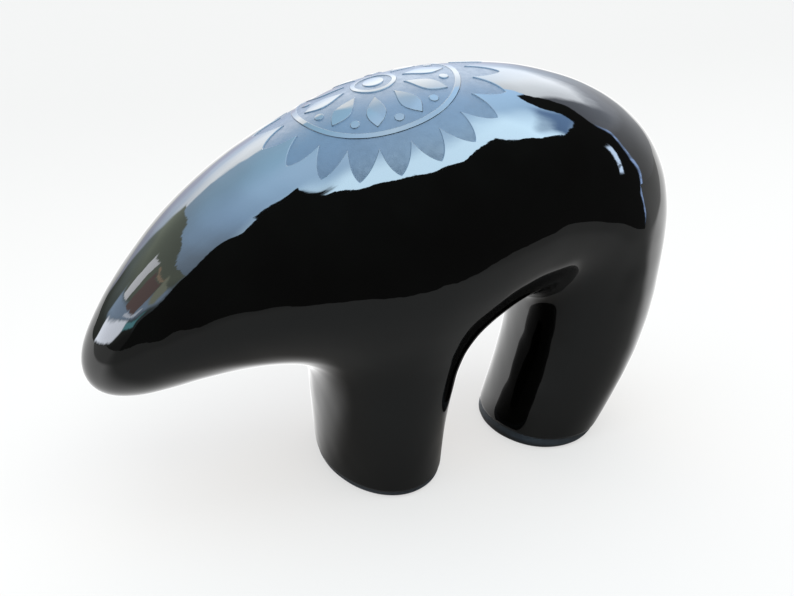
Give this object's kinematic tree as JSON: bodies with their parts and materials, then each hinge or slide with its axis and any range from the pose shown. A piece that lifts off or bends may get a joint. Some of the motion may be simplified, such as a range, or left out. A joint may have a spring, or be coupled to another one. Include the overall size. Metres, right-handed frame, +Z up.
{
  "type": "ceramic bear figurine",
  "caption": "Stylised bear figurine in glossy black glazed ceramic, with a humped back, lowered head, broad pillar legs and a shallow etched medallion on its back.",
  "frame": {"origin": "on the ground, below the middle of the bear's length and width", "axes": "+X from head to rump, +Y to the bear's right side, +Z up"},
  "size_m": [0.15, 0.0654, 0.1015],
  "materials": {
    "glaze": "glassy black ceramic glaze"
  },
  "bodies": {
    "root": {"bear": "glaze"}
  },
  "joints": []
}
